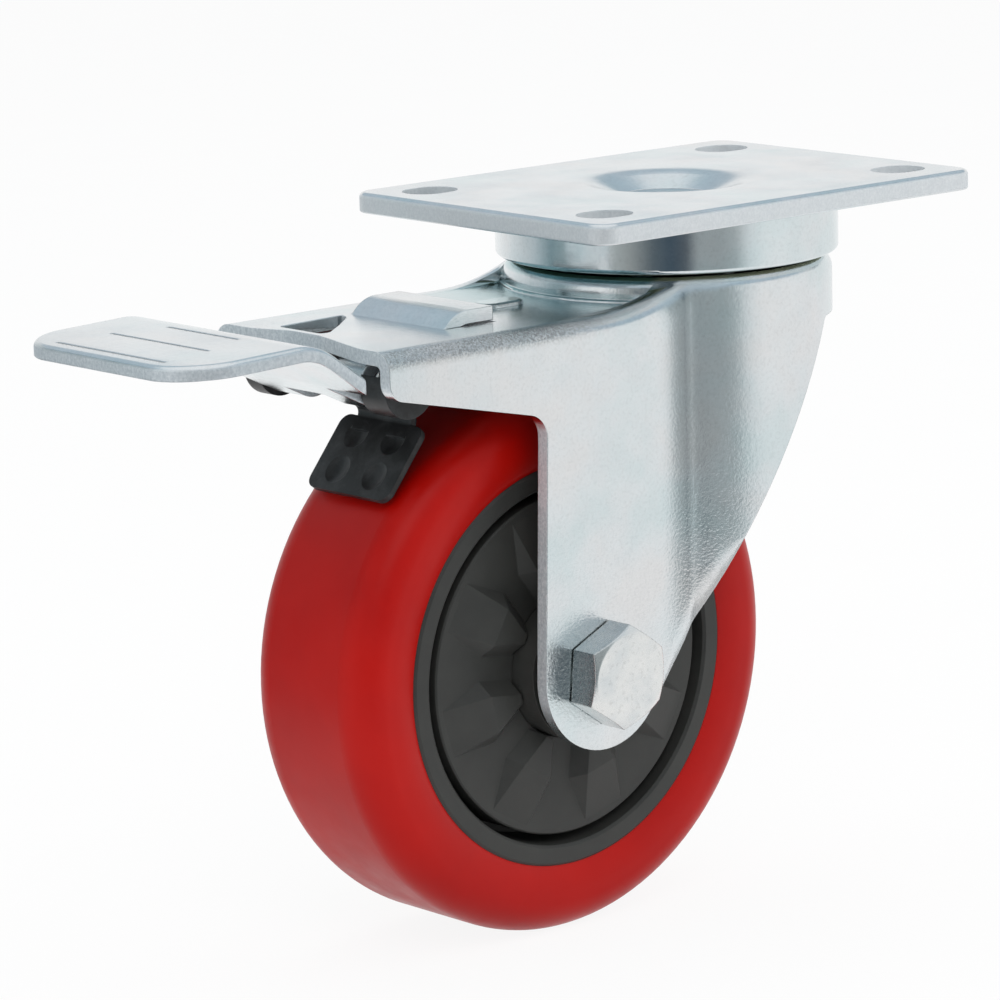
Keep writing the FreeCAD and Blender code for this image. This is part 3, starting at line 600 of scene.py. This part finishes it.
def makeWall():
    count = wall["count"]
    points = []
    faces = []
    for i in range(count):
        angle = 2 * math.pi * i / count
        x = wall["radius"] * math.cos(angle)
        y = wall["radius"] * math.sin(angle)
        points.append((x, y, wall["low"]))
        points.append((x, y, wall["high"]))
        a = 2 * i
        b = 2 * ((i + 1) % count)
        faces.append((a, b, b + 1, a + 1))
    mesh = bpy.data.meshes.new("studioWall")
    mesh.from_pydata(points, [], faces)
    piece = bpy.data.objects.new("studioWall", mesh)
    scene.collection.objects.link(piece)
    material, tree, shader = newFinish("studioWall")
    spot = axesOf(tree, "Object")
    turn = mathNode(tree, "ARCTAN2", (spot, "Y"), (spot, "X"))
    share = remap(tree, turn, -math.pi, math.pi)
    band = ramp(tree, share, [((a + 180) / 360, tone) for a, tone in wall["stops"]])
    glow = addNode(tree, "ShaderNodeEmission", {"Strength": 1.0})
    wire(tree, band, glow.inputs["Color"])
    wire(tree, glow, tree.nodes["Material Output"].inputs["Surface"])
    mesh.materials.append(material)
    piece.visible_camera = False
    piece.visible_diffuse = False
    piece.visible_shadow = False
    piece.visible_transmission = False


# World: soft fill for the surfaces, a banded sky in reflections, plain white behind the part
worldLook = {
    "fill": (0.97, 0.985, 1.0, 1), "strength": 0.62,
    "sky": [(0.50, (1.0, 1.0, 1.0)), (0.62, (0.95, 0.97, 1.0)), (0.70, (0.45, 0.54, 0.61)),
            (0.86, (0.50, 0.60, 0.68)), (0.91, (0.95, 0.98, 1.0))],
}


def makeWorld():
    world = bpy.data.worlds.new("studio")
    scene.world = world
    world.use_nodes = True
    tree = world.node_tree
    tree.nodes.clear()
    out = addNode(tree, "ShaderNodeOutputWorld")
    fill = addNode(tree, "ShaderNodeBackground", {"Color": worldLook["fill"], "Strength": worldLook["strength"]})
    white = addNode(tree, "ShaderNodeBackground", {"Color": (1, 1, 1, 1), "Strength": 1.0})
    sky = addNode(tree, "ShaderNodeBackground", {"Strength": 1.0})
    height = remap(tree, (axesOf(tree, "Generated"), "Z"), -1.0, 1.0)
    wire(tree, ramp(tree, height, worldLook["sky"]), sky.inputs["Color"])
    path = addNode(tree, "ShaderNodeLightPath")
    gloss = addNode(tree, "ShaderNodeMixShader")
    wire(tree, path, gloss.inputs[0], "Is Glossy Ray")
    wire(tree, fill, gloss.inputs[1])
    wire(tree, sky, gloss.inputs[2])
    last = addNode(tree, "ShaderNodeMixShader")
    wire(tree, mathNode(tree, "MAXIMUM", (path, "Is Camera Ray"), (path, "Is Transmission Ray")), last.inputs[0])
    wire(tree, gloss, last.inputs[1])
    wire(tree, white, last.inputs[2])
    wire(tree, last, out.inputs["Surface"])


lamps = {
    "key": {"place": (-0.75, -0.95, 1.05), "size": 0.9, "power": 6.5, "tone": (1.0, 0.99, 0.98)},
    "side": {"place": (1.15, -0.75, 0.55), "size": 0.9, "power": 4.5, "tone": (1.0, 1.0, 1.0)},
    "top": {"place": (0.05, 0.35, 1.35), "size": 1.0, "power": 5.0, "tone": (0.97, 0.99, 1.0)},
}
lampTarget = Vector((-0.03, 0, -0.06))


def makeLamps():
    for name, look in lamps.items():
        data = bpy.data.lights.new(name, "AREA")
        data.shape = "SQUARE"
        data.size = look["size"]
        data.energy = look["power"]
        data.color = look["tone"]
        lamp = bpy.data.objects.new(name, data)
        lamp.location = look["place"]
        lamp.rotation_euler = (lampTarget - lamp.location).to_track_quat("-Z", "Y").to_euler()
        lamp.visible_glossy = False
        scene.collection.objects.link(lamp)


makeFloor()
makeWall()
makeWorld()
makeLamps()
print("studio made")


# Camera, at the photograph's angle

lens = {
    "eye": (-0.6202, -0.6574, 0.1249), "aim": (-0.02404, 0.02112, -0.05971), "roll": -1.351,
    "length": 177.09, "sensor": 36.0, "near": 0.05, "far": 60.0,
}


def makeCamera():
    data = bpy.data.cameras.new("camera")
    data.sensor_width = lens["sensor"]
    data.lens = lens["length"]
    data.clip_start = lens["near"]
    data.clip_end = lens["far"]
    camera = bpy.data.objects.new("camera", data)
    eye = Vector(lens["eye"])
    look = (Vector(lens["aim"]) - eye).to_track_quat("-Z", "Y")
    camera.location = eye
    camera.rotation_mode = "QUATERNION"
    camera.rotation_quaternion = look @ Quaternion((0, 0, 1), math.radians(lens["roll"]))
    scene.collection.objects.link(camera)
    scene.camera = camera


makeCamera()
print("camera made")
